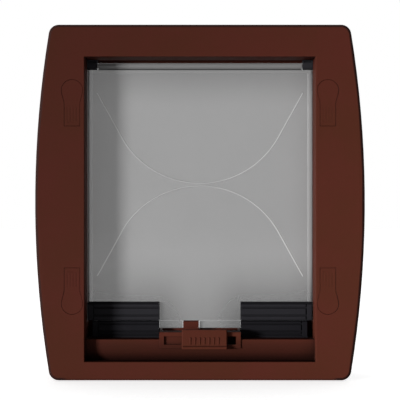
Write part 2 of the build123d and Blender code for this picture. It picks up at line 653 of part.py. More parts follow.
def frame_magnet_holder():
    """Holder that stands on the sill by two pegs, on a foot set back from its faces."""
    inner = FRAME_HOLDER_INNER
    outer = FRAME_HOLDER_OUTER
    body = holder_body(inner, outer, LEDGE, FRAME_HOLDER_TOP, HOLDER_EDGE, FRAME_HOLDER_GROOVES)
    front = FLAP_Y - HOLDER_DEPTH / 2
    rear = FLAP_Y + HOLDER_DEPTH / 2
    rebate = area(inner, outer, LEDGE, LEDGE + FOOT_HEIGHT)
    body -= slab(rebate, front, front + FOOT_SETBACK)
    body -= slab(rebate, rear - FOOT_SETBACK, rear)
    for x in peg_places():
        body += peg(x, PEG_HALF)
    return body - magnet_bar(inner, FRAME_MAGNET_BOTTOM, MAGNET_FIT)


def lock_slide():
    """Slide with a knob in front, a plate behind the window, and a fork that straddles the flap's rim."""
    profile = Polygon(
        (KNOB_BACK, KNOB_TOP),
        (KNOB_FRONT + KNOB_SLOPE, KNOB_TOP),
        (KNOB_FRONT, KNOB_BOTTOM + KNOB_LIP_HEIGHT),
        (KNOB_FRONT - KNOB_LIP_REACH, KNOB_BOTTOM + KNOB_LIP_HEIGHT - KNOB_LIP_REACH),
        (KNOB_FRONT - KNOB_LIP_REACH, KNOB_BOTTOM),
        (KNOB_BACK, KNOB_BOTTOM),
        align=None,
    )
    knob = bar(profile, KNOB_LEFT, KNOB_RIGHT)
    ends = knob.faces().filter_by(Axis.X)
    rims = [edge for end in ends for edge in end.edges() if edge.center().Y < KNOB_BACK - KNOB_EDGE]
    knob = chamfer(rims, KNOB_EDGE / 2)
    middle = Pos((KNOB_LEFT + KNOB_RIGHT) / 2, (WINDOW_TOP + WINDOW_BOTTOM) / 2)
    for spot in GridLocations(GRIP_RIDGE_PITCH, 0, GRIP_RIDGES, 1):
        ridge = middle * spot * Rectangle(GRIP_RIDGE_WIDTH, GRIP_RIDGE_LENGTH)
        knob += slab(ridge, KNOB_FRONT - GRIP_RIDGE_HEIGHT + KNOB_SLOPE / 2, KNOB_BACK)
    stem = area(
        STEM_LEFT,
        STEM_RIGHT,
        WINDOW_BOTTOM + SLIDE_CLEARANCE / 2,
        WINDOW_TOP - SLIDE_CLEARANCE / 2,
    )
    body = knob + slab(stem, KNOB_BACK, SLIDE_FRONT)
    right = ROOM_HALF - SLIDE_CLEARANCE - SLIDE_TRAVEL
    plate = area(TAB_LEFT - SLIDE_LAP, right, SLIDE_BOTTOM, SLIDE_TOP)
    prong = area(TAB_LEFT, TAB_RIGHT, BRIDGE_BOTTOM, TAB_TOP)
    bridge = area(TAB_LEFT, TAB_RIGHT, BRIDGE_BOTTOM, SLIDE_TOP)
    body += slab(plate, SLIDE_FRONT, SLIDE_FRONT + TAB_THICKNESS)
    body += slab(bridge, SLIDE_FRONT, FORK_REAR)
    body += slab(prong, FORK_FRONT, FORK_FRONT + TAB_THICKNESS)
    return body + slab(prong, FORK_REAR - TAB_THICKNESS, FORK_REAR)


def sill_back_plate():
    """Plate that closes the sill from behind, with fins that keep the slide against its window."""
    fit = SILL_PLATE_FIT
    half = PASSAGE_HALF - fit
    outline = area(-half, half, FLOOR, LEDGE - SILL_WALL - fit)
    outline += area(fit - ROOM_HALF, ROOM_HALF - fit, FLOOR, HOUSING_TOP - SILL_WALL - fit)
    body = slab(outline, PLATE_FRONT, SILL_BACK)
    fin_front = SLIDE_FRONT + TAB_THICKNESS + SLIDE_CLEARANCE
    for x in (-FIN_PITCH, 0, FIN_PITCH):
        fin = area(x - FIN_WALL / 2, x + FIN_WALL / 2, SLIDE_BOTTOM, BRIDGE_BOTTOM - FIN_DROP)
        body += slab(fin, fin_front, PLATE_FRONT)
    for spot in plate_screw_places():
        body -= slab(spot * Circle(PLATE_SCREW_RADIUS + THREAD_FIT), PLATE_FRONT, SILL_BACK)
    return body


def sill_plate_screw(spot):
    """Small pan-head screw of the sill plate, head towards outdoors."""
    tail = SILL_BACK + PLATE_SCREW_HEAD_HEIGHT
    body = slab(spot * Circle(PLATE_SCREW_HEAD_RADIUS), SILL_BACK, tail)
    body = chamfer(body.edges().sort_by(Axis.Y)[-1], PLATE_SCREW_HEAD_HEIGHT / 2)
    cross = Rectangle(DRIVE_WIDTH, 2 * PLATE_SCREW_RADIUS) + Rectangle(2 * PLATE_SCREW_RADIUS, DRIVE_WIDTH)
    body -= slab(spot * cross, tail - PLATE_SCREW_HEAD_HEIGHT / 2, tail)
    return body + slab(spot * Circle(PLATE_SCREW_RADIUS), SILL_BACK - PLATE_SCREW_LENGTH, SILL_BACK)


nodes = {
    "interior_frame": interior_frame(),
    "exterior_frame": exterior_frame(),
    "flap_panel": flap_panel(),
    "hinge_rod": hinge_rod(),
    "lock_slide": lock_slide(),
    "sill_back_plate": sill_back_plate(),
    "bracket_screws": Compound([bracket_screw(side, 0).solid() for side in (-1, 1)]),
    "sill_plate_screws": Compound([sill_plate_screw(spot).solid() for spot in plate_screw_places()]),
    "fixing_screws": Compound([fixing_screw(place).solid() for place in cover_places().values()]),
}
for corner, place in cover_places().items():
    nodes[f"screw_cover_{corner}"] = screw_cover(place)
paired = {
    "hinge_bracket": hinge_bracket(),
    "flap_magnet_holder": flap_magnet_holder(),
    "frame_magnet_holder": frame_magnet_holder(),
    "flap_magnet": magnet_bar(FLAP_HOLDER_INNER, FLAP_MAGNET_BOTTOM, 0),
    "frame_magnet": magnet_bar(FRAME_HOLDER_INNER, FRAME_MAGNET_BOTTOM, 0),
}
for name, right in paired.items():
    nodes[f"{name}_right"] = right
    nodes[f"{name}_left"] = mirror(right, about=Plane.YZ)

os.makedirs("parts", exist_ok=True)
for name, shape in nodes.items():
    export_step(shape, f"parts/{name}.step")
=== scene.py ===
import json
from math import cos, pi, radians, sin

import bmesh
import bpy
from mathutils import Matrix, Vector


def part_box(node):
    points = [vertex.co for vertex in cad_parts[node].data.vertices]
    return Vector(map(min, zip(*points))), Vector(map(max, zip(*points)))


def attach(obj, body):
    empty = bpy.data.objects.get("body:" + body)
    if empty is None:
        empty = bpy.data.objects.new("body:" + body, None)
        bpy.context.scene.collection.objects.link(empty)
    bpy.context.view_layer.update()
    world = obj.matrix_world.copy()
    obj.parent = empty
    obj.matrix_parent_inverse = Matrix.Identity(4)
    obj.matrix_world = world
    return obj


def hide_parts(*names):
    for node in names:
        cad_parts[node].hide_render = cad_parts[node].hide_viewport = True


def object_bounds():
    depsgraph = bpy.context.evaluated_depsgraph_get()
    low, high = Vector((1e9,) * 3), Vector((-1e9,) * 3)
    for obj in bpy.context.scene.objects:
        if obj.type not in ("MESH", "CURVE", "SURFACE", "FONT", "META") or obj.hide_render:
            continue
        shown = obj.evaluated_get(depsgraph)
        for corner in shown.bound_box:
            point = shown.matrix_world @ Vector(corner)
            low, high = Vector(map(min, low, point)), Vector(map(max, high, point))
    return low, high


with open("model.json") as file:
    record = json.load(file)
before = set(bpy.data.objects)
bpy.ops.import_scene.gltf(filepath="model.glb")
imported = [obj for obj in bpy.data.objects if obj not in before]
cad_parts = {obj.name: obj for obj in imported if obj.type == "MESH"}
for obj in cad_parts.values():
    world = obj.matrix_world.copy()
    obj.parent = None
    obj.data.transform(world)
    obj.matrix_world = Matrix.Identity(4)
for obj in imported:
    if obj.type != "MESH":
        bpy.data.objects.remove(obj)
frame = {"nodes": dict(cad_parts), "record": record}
cad_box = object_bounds()

# Interior frame: one moulding of brown plastic with a bowed flange, a tunnel and a rolled sill.
# It lies against the room side of the door. Its etched mould leaves a fine grain. Painted shade darkens
# its corners, upward faces, the sill's rolled front and the outer edge's round, and painted light pales it
# to the lower right.
MM = 0.001
BROWN = (0.0700, 0.0194, 0.0104, 1.0)
BROWN_RED = (0.0800, 0.0182, 0.0122, 1.0)
BROWN_SHADE = (0.016, 0.0052, 0.0040, 1.0)
EDGE_SHADE = (0.031, 0.0105, 0.0082, 1.0)
TOP_SHADE = 0.5
SILL_SHADE = 0.5
LIGHT_GRADIENT_LOW = 0.72
LIGHT_GRADIENT_GAIN = 0.52
LIGHT_GRADIENT_REACH = 0.25
FLANGE_SIDE = (84 * MM, 88 * MM)
FLANGE_TOP = (101 * MM, 104 * MM)
FLANGE_FRONT = (-4.6 * MM, -3.6 * MM)
FLANGE_FACING = (0.98, 0.9999)
SILL_FRONT = (-2.5 * MM, -1.5 * MM)
SILL_REAR = (8 * MM, 12 * MM)
SILL_TOP = (-89 * MM, -80 * MM)
SILL_FOOT = (-97 * MM, -92 * MM)
FRAME_ROUND = 0.12 * MM
SEAM = 0.002 * MM
FLAT_ANGLE = radians(0.5)
SHARP_ANGLE = radians(30)
SMOOTH_ANGLE = radians(50)


class Shade:
    """A shader value that takes part in plain expressions; each operation adds a Math node."""

    def __init__(self, tree, socket=None):
        self.tree = tree
        self.socket = socket

    def node(self, kind, settings=None, sockets=None, output=0):
        """Any other node: its settings come first, then the values or links of its sockets."""
        made = self.tree.nodes.new("ShaderNode" + kind)
        for name, value in (settings or {}).items():
            setattr(made, name, value)
        for name, value in (sockets or {}).items():
            if isinstance(value, Shade):
                self.tree.links.new(value.socket, made.inputs[name])
            else:
                made.inputs[name].default_value = value
        return Shade(self.tree, made.outputs[output])

    def output(self, name):
        """Another output of the node that this value comes from."""
        return Shade(self.tree, self.socket.node.outputs[name])

    def math(self, operation, left, right=0.0):
        return self.node("Math", {"operation": operation}, {0: left, 1: right})

    def __add__(self, other):
        return self.math("ADD", self, other)

    def __radd__(self, other):
        return self.math("ADD", other, self)

    def __sub__(self, other):
        return self.math("SUBTRACT", self, other)

    def __rsub__(self, other):
        return self.math("SUBTRACT", other, self)

    def __mul__(self, other):
        return self.math("MULTIPLY", self, other)

    def __rmul__(self, other):
        return self.math("MULTIPLY", other, self)

    def __or__(self, other):
        return self.math("MAXIMUM", self, other)

    def __abs__(self):
        return self.math("ABSOLUTE", self)

    def mix(self, start, end):
        """Colour between two others, by this value."""
        settings = {"data_type": "RGBA"}
        return self.node("Mix", settings, {0: self, 6: start, 7: end}, output=2)

    def ramp(self, low, high):
        """This value stretched to run from 0 at low to 1 at high."""
        settings = {"interpolation_type": "SMOOTHSTEP"}
        return self.node("MapRange", settings, {"Value": self, "From Min": low, "From Max": high})

    def axes(self):
        """This vector's X, Y and Z."""
        split = self.node("SeparateXYZ", None, {"Vector": self})
        return [split.output(axis) for axis in "XYZ"]

    def noise(self, scale, detail):
        """Cloudy noise over this place."""
        return self.node("TexNoise", None, {"Vector": self, "Scale": scale, "Detail": detail})

    def bump(self, distance, strength):
        """Normal of a surface with this height."""
        return self.node("Bump", None, {"Height": self, "Distance": distance, "Strength": strength})


def new_finish(name, **constants):
    """A material with one Principled shader, its constant sockets set; returns it with a start for nodes."""
    material = bpy.data.materials.new(name)
    material.use_nodes = True
    principled = material.node_tree.nodes["Principled BSDF"]
    for socket, value in constants.items():
        principled.inputs[socket.replace("_", " ")].default_value = value
    return material, principled, Shade(material.node_tree)


def feed(principled, **sockets):
    """Link shader values to the Principled shader's sockets."""
    for socket, value in sockets.items():
        value.tree.links.new(value.socket, principled.inputs[socket.replace("_", " ")])


def flange_edge_shade(place, normal):
    """Mask of painted shade over the round of the flange's outer edge at its sides and top, turned away from
    its face.
    """
    across, depth, height = place.axes()
    outer = abs(across).ramp(*FLANGE_SIDE) | height.ramp(*FLANGE_TOP)
    front = 1 - depth.ramp(*FLANGE_FRONT)
    facing = abs(normal.axes()[1])
    return outer * front * (1 - facing.ramp(*FLANGE_FACING))


def sill_shade(place):
    """Mask of painted shade over the lower part of the sill's rolled front."""
    depth, height = place.axes()[1:]
    front = depth.ramp(*SILL_FRONT) * (1 - depth.ramp(*SILL_REAR))
    return front * (1 - height.ramp(*SILL_TOP)) * (0.2 + 0.8 * height.ramp(*SILL_FOOT))


def etched_plastic(
    name, colour, other_colour, shade_colour, reach, roughness, grain_height, sill_and_edge_shade=False, light_gradient=False
):
    """Moulded plastic: drift between two near colours and the grain of an etched mould, with painted shade
    in corners and on upward faces.
    """
    material, principled, start = new_finish(name, Specular_IOR_Level=0.05)
    place = start.node("TexCoord", output="Object")
    normal = start.node("TexCoord", output="Normal")
    drift = place.noise(26.0, 3.0)
    speck = place.noise(700.0, 2.0)
    grain = place.noise(2600.0, 2.0)
    tone = (drift * 0.65 + speck * 0.35).ramp(0.3, 0.7)
    settings = {"samples": 8, "only_local": True}
    # Painted shade: darker where the piece's own shape closes round a point.
    openness = start.node("AmbientOcclusion", settings, {"Distance": reach}, output="AO")
    unshaded = openness.ramp(0.05, 0.95)
    base = unshaded.mix(shade_colour, tone.mix(colour, other_colour))
    # Painted shade: faces turned upward are darker.
    upward = normal.axes()[2].ramp(0.35, 0.75)
    base = (upward * TOP_SHADE).mix(base, shade_colour)
    # Painted light: paler to the lower right, darker to the upper left.
    if light_gradient:
        across, _, height = place.axes()
        light = LIGHT_GRADIENT_LOW + LIGHT_GRADIENT_GAIN * (across - height).ramp(-LIGHT_GRADIENT_REACH, LIGHT_GRADIENT_REACH)
        base = start.node("VectorMath", {"operation": "SCALE"}, {0: base, "Scale": light})
    # Painted shade on the sill's rolled front and on the round of the flange's outer edge.
    if sill_and_edge_shade:
        base = (sill_shade(place) * SILL_SHADE).mix(base, shade_colour)
        base = flange_edge_shade(place, normal).mix(base, EDGE_SHADE)
    feed(
        principled,
        Base_Color=base,
        Roughness=roughness + (drift - 0.5) * 0.12 + (speck - 0.5) * 0.1,
        Normal=grain.bump(grain_height, 0.5),
    )
    return material


body_of = {
    node: body for body, nodes in frame["record"]["behaviour"]["bodies"].items() for node in nodes
}


def stand_in(shape, name, material, node):
    """Make a shape the visible piece for a CAD node: same body, the given material, even shading; the node
    is hidden.
    """
    mesh = bpy.data.meshes.new(name)
    for face in shape.faces:
        face.smooth = True
    shape.to_mesh(mesh)
    shape.free()
    mesh.materials.append(material)
    mesh.set_sharp_from_angle(angle=SMOOTH_ANGLE)
    piece = bpy.data.objects.new(name, mesh)
    bpy.context.scene.collection.objects.link(piece)
    shading = piece.modifiers.new("even_shading", "WEIGHTED_NORMAL")
    shading.keep_sharp = True
    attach(piece, body_of[node])
    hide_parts(node)


def softened(node, edge_round):
    """A copy of a CAD node's shape with whole flats and its sharp edges rounded."""
    shape = bmesh.new()
    shape.from_mesh(frame["nodes"][node].data)
    bmesh.ops.remove_doubles(shape, verts=shape.verts, dist=SEAM)
    bmesh.ops.dissolve_limit(shape, angle_limit=FLAT_ANGLE, verts=shape.verts, edges=shape.edges)
    sharp = [edge for edge in shape.edges if edge.calc_face_angle(0.0) > SHARP_ANGLE]
    bmesh.ops.bevel(
        shape, geom=sharp, offset=edge_round, segments=2, profile=0.5, affect="EDGES", material=-1
    )
    return shape


brown_plastic = etched_plastic(
    "brown_plastic", BROWN, BROWN_RED, BROWN_SHADE,
    reach=12 * MM, roughness=0.6, grain_height=0.06 * MM, sill_and_edge_shade=True, light_gradient=True,
)
stand_in(softened("interior_frame", FRAME_ROUND), "interior_moulding", brown_plastic, "interior_frame")

# Exterior frame: the outdoor half, moulded of the same plastic.
# Its sleeve slides over the tunnel inside the door, and the four screws pull it tight.
stand_in(softened("exterior_frame", FRAME_ROUND), "exterior_moulding", brown_plastic, "exterior_frame")

# Hinge brackets: two small black mouldings under the tunnel's ceiling.
# Each is held by a countersunk screw from above and holds one end of the hinge rod.
BLACK = (0.0185, 0.0180, 0.0215, 1.0)
BLACK_GREY = (0.0220, 0.0215, 0.0250, 1.0)
# Painted shade for the corners and grooves of black parts.
BLACK_SHADE = (0.0025, 0.0025, 0.0028, 1.0)
BRACKET_ROUND = 0.18 * MM
BRACKET_UNDER = 2.2 * MM
BRACKET_LOWERED = 0.35 * MM
BORE_REACH = 1.6 * MM


def scale_about(shape, point, ratios, verts):
    """Scale some of a shape's points towards or away from a fixed point."""
    bmesh.ops.scale(shape, vec=ratios, space=Matrix.Translation(-Vector(point)), verts=verts)


black_plastic = etched_plastic(
    "black_plastic", BLACK, BLACK_GREY, BLACK_SHADE,
    reach=3 * MM, roughness=0.58, grain_height=0.04 * MM,
)
hinge_axis = Vector(frame["record"]["behaviour"]["joints"][0]["pos_m"])
swell = (BRACKET_UNDER + BRACKET_LOWERED) / BRACKET_UNDER
for hand in ("left", "right"):
    bracket = "hinge_bracket_" + hand
    shape = softened(bracket, BRACKET_ROUND)
    under = [
        vert for vert in shape.verts
        if vert.co.z < hinge_axis.z and (vert.co - hinge_axis).yz.length > BORE_REACH
    ]
    scale_about(shape, hinge_axis, (1, 1, swell), under)
    stand_in(shape, "hinge_block_" + hand, black_plastic, bracket)

# Hinge rod and bracket screws: drawn steel wire and countersunk screws, both zinc-plated.
# The rod is pushed through the flap's barrel into both brackets; its zinc is cloudy and finely worn.
ROD_ROUND = 0.2 * MM
SCREW_ROUND = 0.06 * MM
ZINC_WARM = (0.50, 0.49, 0.46, 1.0)
ZINC_COOL = (0.60, 0.61, 0.60, 1.0)


def zinc_plate():
    """Bright metal with cloudy patches and fine wear."""
    material, principled, start = new_finish("zinc_steel", Metallic=1.0)
    place = start.node("TexCoord", output="Object")
    cloud = place.noise(160.0, 3.0)
    wear = place.noise(2400.0, 4.0)
    feed(
        principled,
        Base_Color=cloud.ramp(0.35, 0.65).mix(ZINC_WARM, ZINC_COOL),
        Roughness=0.2 + cloud * 0.14 + wear * 0.16,
        Normal=wear.bump(0.02 * MM, 0.4),
    )
    return material


steel = zinc_plate()
stand_in(softened("hinge_rod", ROD_ROUND), "hinge_wire", steel, "hinge_rod")
stand_in(softened("bracket_screws", SCREW_ROUND), "bracket_fixings", steel, "bracket_screws")

# Flap: moulded of clear, slightly smoked plastic with a thicker rim and two moulded curves.
# Its barrel turns on the rod, so that it swings both ways. Its grey is painted darker towards its foot, top
# and sides as shade, the rim's inner edges carry painted highlights, and the curves glow with painted light.
FLAP_ROUND = 0.18 * MM
RIM_WIDTH = 2.8 * MM
RIM_RISE = 0.6 * MM
TOP_RIM_HEIGHT = 2.5 * MM
NECK_HEIGHT = 0.9 * MM
BARREL_RADIUS = 1.8 * MM
TONGUE_RIM_HEIGHT = 4.5 * MM
TONGUE_HALF = 26.4 * MM
TONGUE_END = 1.0 * MM
TONGUE_REACH = 0.3 * MM
TONGUE_CORNER = 1.5 * MM
TONGUE_CORNER_ROUND = 0.5 * MM
TOUCH = 0.01 * MM
TAB_MIDDLE = -5.85 * MM
NOTCH_TOP = -72 * MM
NOTCH_HALF = 7 * MM
NOTCH_TRIM = 0.28 * MM
CURVE_RADIUS = 58.3 * MM
CURVE_TURN = radians(61)
CURVE_STEPS = 48
CURVE_MIDDLE = 15.85 * MM
CURVE_GAP = 1.7 * MM
CURVE_END = 66.6 * MM
CURVE_TIP = 1.0 * MM
CURVE_HALF_WIDTH = 0.5 * MM
CURVE_HEIGHT = 0.45 * MM
CURVE_SIDE_MARGIN = 0.3 * MM
CURVE_FOOT_MARGIN = 0.5 * MM
CURVE_TOP_MARGIN = 0.4 * MM
RIDGE_ROOT = 0.03 * MM
RIDGE_CREST = 0.24 * MM
EDGE_BLUR = 0.1 * MM
PANEL_TONE = 0.285
RIM_TONE = 0.32
BARREL_TONE = 0.20
NECK_SHADE = 0.035
PANEL_ALPHA = 0.66
BARREL_ALPHA = 0.88
FOOT_SHADE_SPAN = (-88 * MM, -26 * MM)
FOOT_SHADE = 0.45
CORNER_SHADE_SPAN = (4 * MM, 28 * MM)
CORNER_SHADE = 0.6
HEAD_SHADE_SPAN = (64 * MM, 98 * MM)
HEAD_SHADE = 0.5
SIDE_SHADE_SPAN = (54 * MM, 72 * MM)
SIDE_SHADE = 0.08
SIDE_HIGHLIGHT = 0.14
SIDE_HIGHLIGHT_FADE = 0.1
SIDE_HIGHLIGHT_SPAN = (-20 * MM, 20 * MM)
FOOT_HIGHLIGHT = 0.12
CURVE_LIGHT = 0.19
CURVE_LIGHT_RIGHT = 0.13
CURVE_RIGHT_SPAN = (0.0, 32 * MM)
CURVE_LIGHT_LOW = 0.1
CURVE_LOW_SPAN = (-30 * MM, 10 * MM)
panel_low, panel_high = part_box("flap_panel")
panel_face = panel_low.y + RIM_RISE
rim_inner = panel_high.x - RIM_WIDTH
tongue_line = panel_low.z + TONGUE_RIM_HEIGHT
barrel_foot = panel_high.z - 2 * BARREL_RADIUS
neck_foot = barrel_foot - NECK_HEIGHT
rim_under = neck_foot - TOP_RIM_HEIGHT


def beyond(value, level):
    """Mask that is 0 below a level and 1 above it, with a slim blur."""
    return value.ramp(level - EDGE_BLUR, level + EDGE_BLUR)


def line_at(value, level, before, after):
    """Slim mask along a level, which fades out before and after it."""
    return value.ramp(level - before, level) * (1 - value.ramp(level, level + after))


def smoked_plastic():
    """Clear smoked plastic with painted shade towards its foot, top and sides, painted highlights along the
    rim's inner edges and painted light along the curves.
    """
    material, principled, start = new_finish(
        "clear_plastic", IOR=1.5, Specular_IOR_Level=0.4, Emission_Strength=1.0
    )
    place = start.node("TexCoord", output="Object")
    across, depth, height = place.axes()
    outward = abs(across)
    haze = place.noise(18.0, 4.0)
    ripple = place.noise(40.0, 1.0)
    rim = beyond(outward, rim_inner) | beyond(height, rim_under) | (1 - beyond(height, tongue_line))
    barrel = beyond(height, barrel_foot)
    neck = height.ramp(neck_foot, neck_foot + EDGE_BLUR) * (1 - barrel)
    ridge = (1 - depth.ramp(panel_face - RIDGE_CREST, panel_face - RIDGE_ROOT)) * (1 - rim)
    # Painted shade: darker towards the foot and most at its corners, towards the top and towards the sides,
    # with some random haze.
    foot = 1 - height.ramp(*FOOT_SHADE_SPAN)
    shade_and_haze = 1 - foot * (FOOT_SHADE + CORNER_SHADE * outward.ramp(*CORNER_SHADE_SPAN))
    shade_and_haze = shade_and_haze - HEAD_SHADE * height.ramp(*HEAD_SHADE_SPAN) - SIDE_SHADE * outward.ramp(*SIDE_SHADE_SPAN)
    shade_and_haze = shade_and_haze + (haze - 0.5) * 0.1
    # Painted highlights: pale lines along the rim's inner edges, the side ones strongest on the left.
    side_highlight = line_at(outward, rim_inner, 0.4 * MM, 0.3 * MM)
    side_highlight = side_highlight * (SIDE_HIGHLIGHT - SIDE_HIGHLIGHT_FADE * across.ramp(*SIDE_HIGHLIGHT_SPAN))
    foot_highlight = line_at(height, tongue_line, 0.3 * MM, 0.5 * MM) * FOOT_HIGHLIGHT
    tone = (PANEL_TONE + rim * (RIM_TONE - PANEL_TONE)) * shade_and_haze + side_highlight + foot_highlight
    tone = tone * (1 - barrel) + barrel * BARREL_TONE
    # Painted shade: a dark line along the neck under the barrel.
    tone = tone * (1 - neck) + neck * NECK_SHADE
    # Painted light: the curves glow, more to the right and lower down.
    right_light = CURVE_LIGHT_RIGHT * across.ramp(*CURVE_RIGHT_SPAN)
    low_light = CURVE_LIGHT_LOW * (1 - height.ramp(*CURVE_LOW_SPAN))
    feed(
        principled,
        Base_Color=tone,
        Emission_Color=ridge * (CURVE_LIGHT + right_light + low_light),
        Alpha=PANEL_ALPHA + (barrel | neck) * (BARREL_ALPHA - PANEL_ALPHA),
        Roughness=0.24 + haze * 0.16 + ridge * 0.3,
        Normal=ripple.bump(0.02 * MM, 0.3),
    )
    return material


def new_end(shape, edges):
    """Extrude an open end; returns the points and the edges of the new one."""
    made = bmesh.ops.extrude_edge_only(shape, edges=edges)["geom"]
    verts = [item for item in made if isinstance(item, bmesh.types.BMVert)]
    lines = [item for item in made if isinstance(item, bmesh.types.BMEdge)]
    own = set(verts)
    return verts, [line for line in lines if own.issuperset(line.verts)]


def longer(shape, edges, way):
    """Extrude a ridge's open end along a direction; returns the new end."""
    verts, end = new_end(shape, edges)
    bmesh.ops.translate(shape, vec=way, verts=verts)
    return end


def moulded_curve(shape, upward):
    """Slim ridge on the flap's face: a wide arc in the middle and a straight leg out to each side."""
    apex = CURVE_MIDDLE + upward * CURVE_GAP / 2
    hub = Vector((0, panel_face, apex + upward * CURVE_RADIUS))
    section = [(-CURVE_HALF_WIDTH, 0), (0, CURVE_HEIGHT), (CURVE_HALF_WIDTH, 0)]
    verts = [shape.verts.new((0, panel_face - rise, apex + offset)) for offset, rise in section]
    edges = [shape.edges.new(pair) for pair in zip(verts, verts[1:])]
    bmesh.ops.rotate(shape, cent=hub, matrix=Matrix.Rotation(CURVE_TURN, 3, "Y"), verts=verts)
    arc = bmesh.ops.spin(
        shape,
        geom=verts + edges,
        cent=hub,
        axis=(0, 1, 0),
        angle=-2 * CURVE_TURN,
        steps=CURVE_STEPS,
    )
    far_edges = [item for item in arc["geom_last"] if isinstance(item, bmesh.types.BMEdge)]
    reach = (CURVE_END - CURVE_RADIUS * sin(CURVE_TURN)) / cos(CURVE_TURN)
    for end, outward in ((edges, -upward), (far_edges, upward)):
        way = Vector((outward * cos(CURVE_TURN), 0, upward * sin(CURVE_TURN)))
        tip = longer(shape, longer(shape, end, way * reach), way * CURVE_TIP)
        flush = list({vert for edge in tip for vert in edge.verts})
        scale_about(shape, (0, panel_face, 0), (1, 0, 1), flush)


shape = softened("flap_panel", FLAP_ROUND)
raised = [
    vert for vert in shape.verts
    if vert.co.y < panel_face and abs(vert.co.x) < rim_inner - CURVE_SIDE_MARGIN
    and tongue_line + CURVE_FOOT_MARGIN < vert.co.z < rim_under - CURVE_TOP_MARGIN
]
scale_about(shape, (0, panel_face, 0), (1, 0, 1), raised)
moulded_curve(shape, 1)
moulded_curve(shape, -1)
tighter = TONGUE_CORNER_ROUND / TONGUE_CORNER
for way in (-1, 1):
    rounded = [
        vert for vert in shape.verts
        if way * vert.co.x > TONGUE_HALF - TONGUE_CORNER - TOUCH
        and vert.co.z < panel_low.z + TONGUE_CORNER + TOUCH
    ]
    scale_about(shape, (way * TONGUE_HALF, 0, panel_low.z), (tighter, 1, tighter), rounded)
tongue_end = [vert for vert in shape.verts if vert.co.z < panel_low.z + TONGUE_END]
bmesh.ops.translate(shape, vec=(0, 0, -TONGUE_REACH), verts=tongue_end)
notch = [
    vert for vert in shape.verts
    if vert.co.z < NOTCH_TOP and abs(vert.co.x - TAB_MIDDLE) < NOTCH_HALF
]
for inward in (-1, 1):
    wall = [vert for vert in notch if (vert.co.x - TAB_MIDDLE) * inward < 0]
    bmesh.ops.translate(shape, vec=(inward * NOTCH_TRIM, 0, 0), verts=wall)
clear_plastic = smoked_plastic()
stand_in(shape, "flap_moulding", clear_plastic, "flap_panel")

# Magnet holders: black ribbed bars, two gripping the flap's lower corners and two pegged into the sill.
# Each has a bar of ground ferrite pushed in from its inner end.
HOLDER_ROUND = 0.15 * MM
HOLDER_GAP_TRIM = 0.2 * MM
HOLDER_END = 0.3 * MM
MAGNET_ROUND = 0.2 * MM
# Painted shade: the sill's holders are the same black plastic, painted darker as if in deeper shade.
SHADED_BLACK = (0.0098, 0.0094, 0.0118, 1.0)
SHADED_BLACK_GREY = (0.0125, 0.0120, 0.0145, 1.0)
FERRITE = (0.030, 0.030, 0.032, 1.0)
FERRITE_GREY = (0.055, 0.054, 0.053, 1.0)
# Painted shade for the ferrite's corners.
FERRITE_SHADE = (0.012, 0.012, 0.012, 1.0)
shaded_black_plastic = etched_plastic(
    "shaded_black_plastic", SHADED_BLACK, SHADED_BLACK_GREY, BLACK_SHADE,
    reach=3 * MM, roughness=0.58, grain_height=0.04 * MM,
)
ferrite = etched_plastic(
    "ferrite", FERRITE, FERRITE_GREY, FERRITE_SHADE,
    reach=2 * MM, roughness=0.6, grain_height=0.08 * MM,
)
for hand, inward in (("left", 1), ("right", -1)):
    for carrier, holder_plastic in (("flap", black_plastic), ("frame", shaded_black_plastic)):
        holder = f"{carrier}_magnet_holder_{hand}"
        magnet = f"{carrier}_magnet_{hand}"
        shape = softened(holder, HOLDER_ROUND)
        low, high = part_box(holder)
        if carrier == "flap":
            lower_end = [vert for vert in shape.verts if vert.co.z < low.z + HOLDER_END]
            bmesh.ops.translate(shape, vec=(0, 0, -HOLDER_GAP_TRIM), verts=lower_end)
        else:
            inner = min(abs(low.x), abs(high.x))
            inner_end = [vert for vert in shape.verts if abs(vert.co.x) < inner + HOLDER_END]
            bmesh.ops.translate(shape, vec=(inward * HOLDER_GAP_TRIM, 0, 0), verts=inner_end)
        stand_in(shape, f"{carrier}_holder_{hand}", holder_plastic, holder)
        stand_in(softened(magnet, MAGNET_ROUND), f"{carrier}_ferrite_{hand}", ferrite, magnet)

# Lock slide: a small moulding of the frame's own plastic, with a knob in front and a fork behind.
# It runs sideways in the housing's window. At the end of its travel the fork straddles the flap's rim.
SLIDE_ROUND = 0.15 * MM
stand_in(softened("lock_slide", SLIDE_ROUND), "lock_moulding", brown_plastic, "lock_slide")

# Sill plate: closes the sill from behind and keeps the slide against its window.
# It is moulded of the same plastic and held by two small screws.
PLATE_ROUND = 0.15 * MM
stand_in(softened("sill_back_plate", PLATE_ROUND), "sill_closure", brown_plastic, "sill_back_plate")

# Screws: zinc-plated, with a pan head, a cross recess and a rolled thread.
# Four long ones run from under the covers into the exterior frame's bosses,
# and two short ones hold the sill plate.
LONG_HEAD_RADIUS = 3.7 * MM
LONG_HEAD_HEIGHT = 2.4 * MM
SHORT_HEAD_RADIUS = 2.5 * MM
SHORT_HEAD_HEIGHT = 1.5 * MM
CROWN_FLAT = 0.7
CROWN_SHOULDER = 0.9
CROWN_DROP = 0.12
SHOULDER_DROP = 0.33
RECESS_WIDTH = 1.0 * MM
RECESS_TAPER = 0.75
RECESS_DEPTH = 0.55
ROOT_RATIO = 0.78
ROOT_OVERLAP = 0.9
POINT_LENGTH = 0.07
POINT_RATIO = 0.25
THREADED_LENGTH = 0.9
THREAD_FOOT = 0.42
THREAD_CREST = 0.06
RING_SIDES = 32
TURN_STEPS = 16


